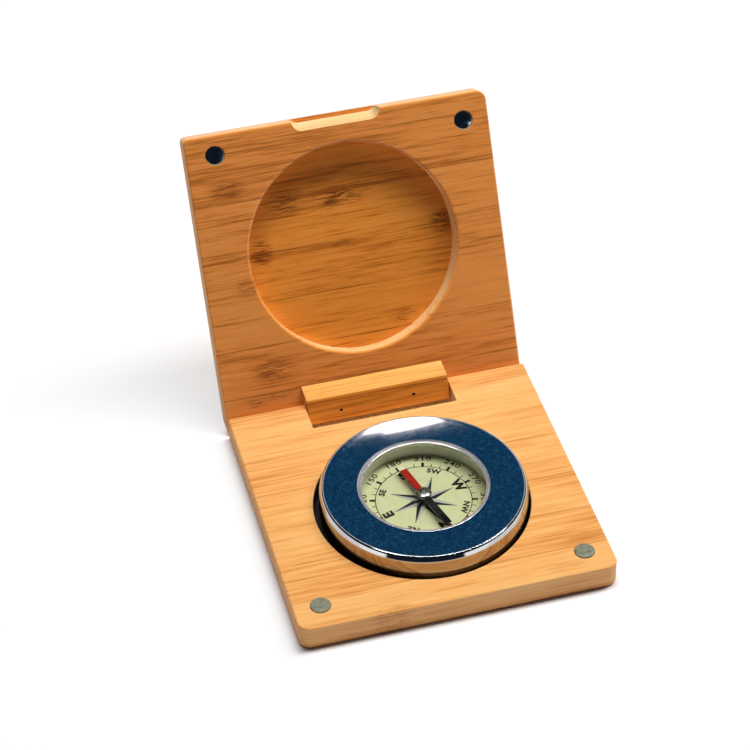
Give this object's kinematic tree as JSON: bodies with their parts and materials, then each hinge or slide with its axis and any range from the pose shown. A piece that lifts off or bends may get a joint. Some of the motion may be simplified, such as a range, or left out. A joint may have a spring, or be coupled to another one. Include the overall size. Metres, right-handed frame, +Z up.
{
  "type": "pocket compass",
  "caption": "Hinged bamboo case standing open, with a round magnetic compass set in its base, a recessed lid with a finger notch, and magnets that hold the lid shut.",
  "frame": {"origin": "centre of the underside of the base leaf, on the surface the case stands on", "axes": "+X along the hinge, -Y towards the front edge of the base, +Z up"},
  "size_m": [0.08, 0.1205, 0.069],
  "materials": {
    "bamboo_base": "fine sanded, oiled",
    "bamboo_lid": "fine sanded, oiled",
    "magnet_nickel": "nickel plated",
    "steel": "bright drawn",
    "chrome": "polished",
    "bezel": "polished, navy face",
    "capsule": "satin",
    "dial": "printed",
    "glass": "clear",
    "needle_paint": "enamelled red and black",
    "foam": "matt"
  },
  "bodies": {
    "base": {"base_plate": "bamboo_base", "hinge_pin_left": "steel", "hinge_pin_right": "steel", "base_magnet_left": "magnet_nickel", "base_magnet_right": "magnet_nickel", "adhesive_pad": "foam", "compass_housing": "chrome", "back_cover": "steel", "bezel_ring": "bezel", "capsule_cup": "capsule", "dial_plate": "dial", "crystal": "glass", "pivot_pin": "steel"},
    "lid": {"lid_plate": "bamboo_lid", "hinge_block": "bamboo_base", "block_brad_left": "steel", "block_brad_right": "steel", "lid_magnet_left": "magnet_nickel", "lid_magnet_right": "magnet_nickel"},
    "compass_needle": {"needle": "needle_paint", "needle_hub": "steel"}
  },
  "joints": [
    {"name": "lid_hinge", "type": "hinge", "parent": "base", "child": "lid", "pos_m": [0, 0.0373, 0.0035], "axis": [1, 0, 0], "range_deg": [0, 118]},
    {"name": "needle_spin", "type": "hinge", "parent": "base", "child": "compass_needle", "pos_m": [0.00045, -0.004, 0.0083], "axis": [0, 0, 1], "continuous": true}
  ]
}
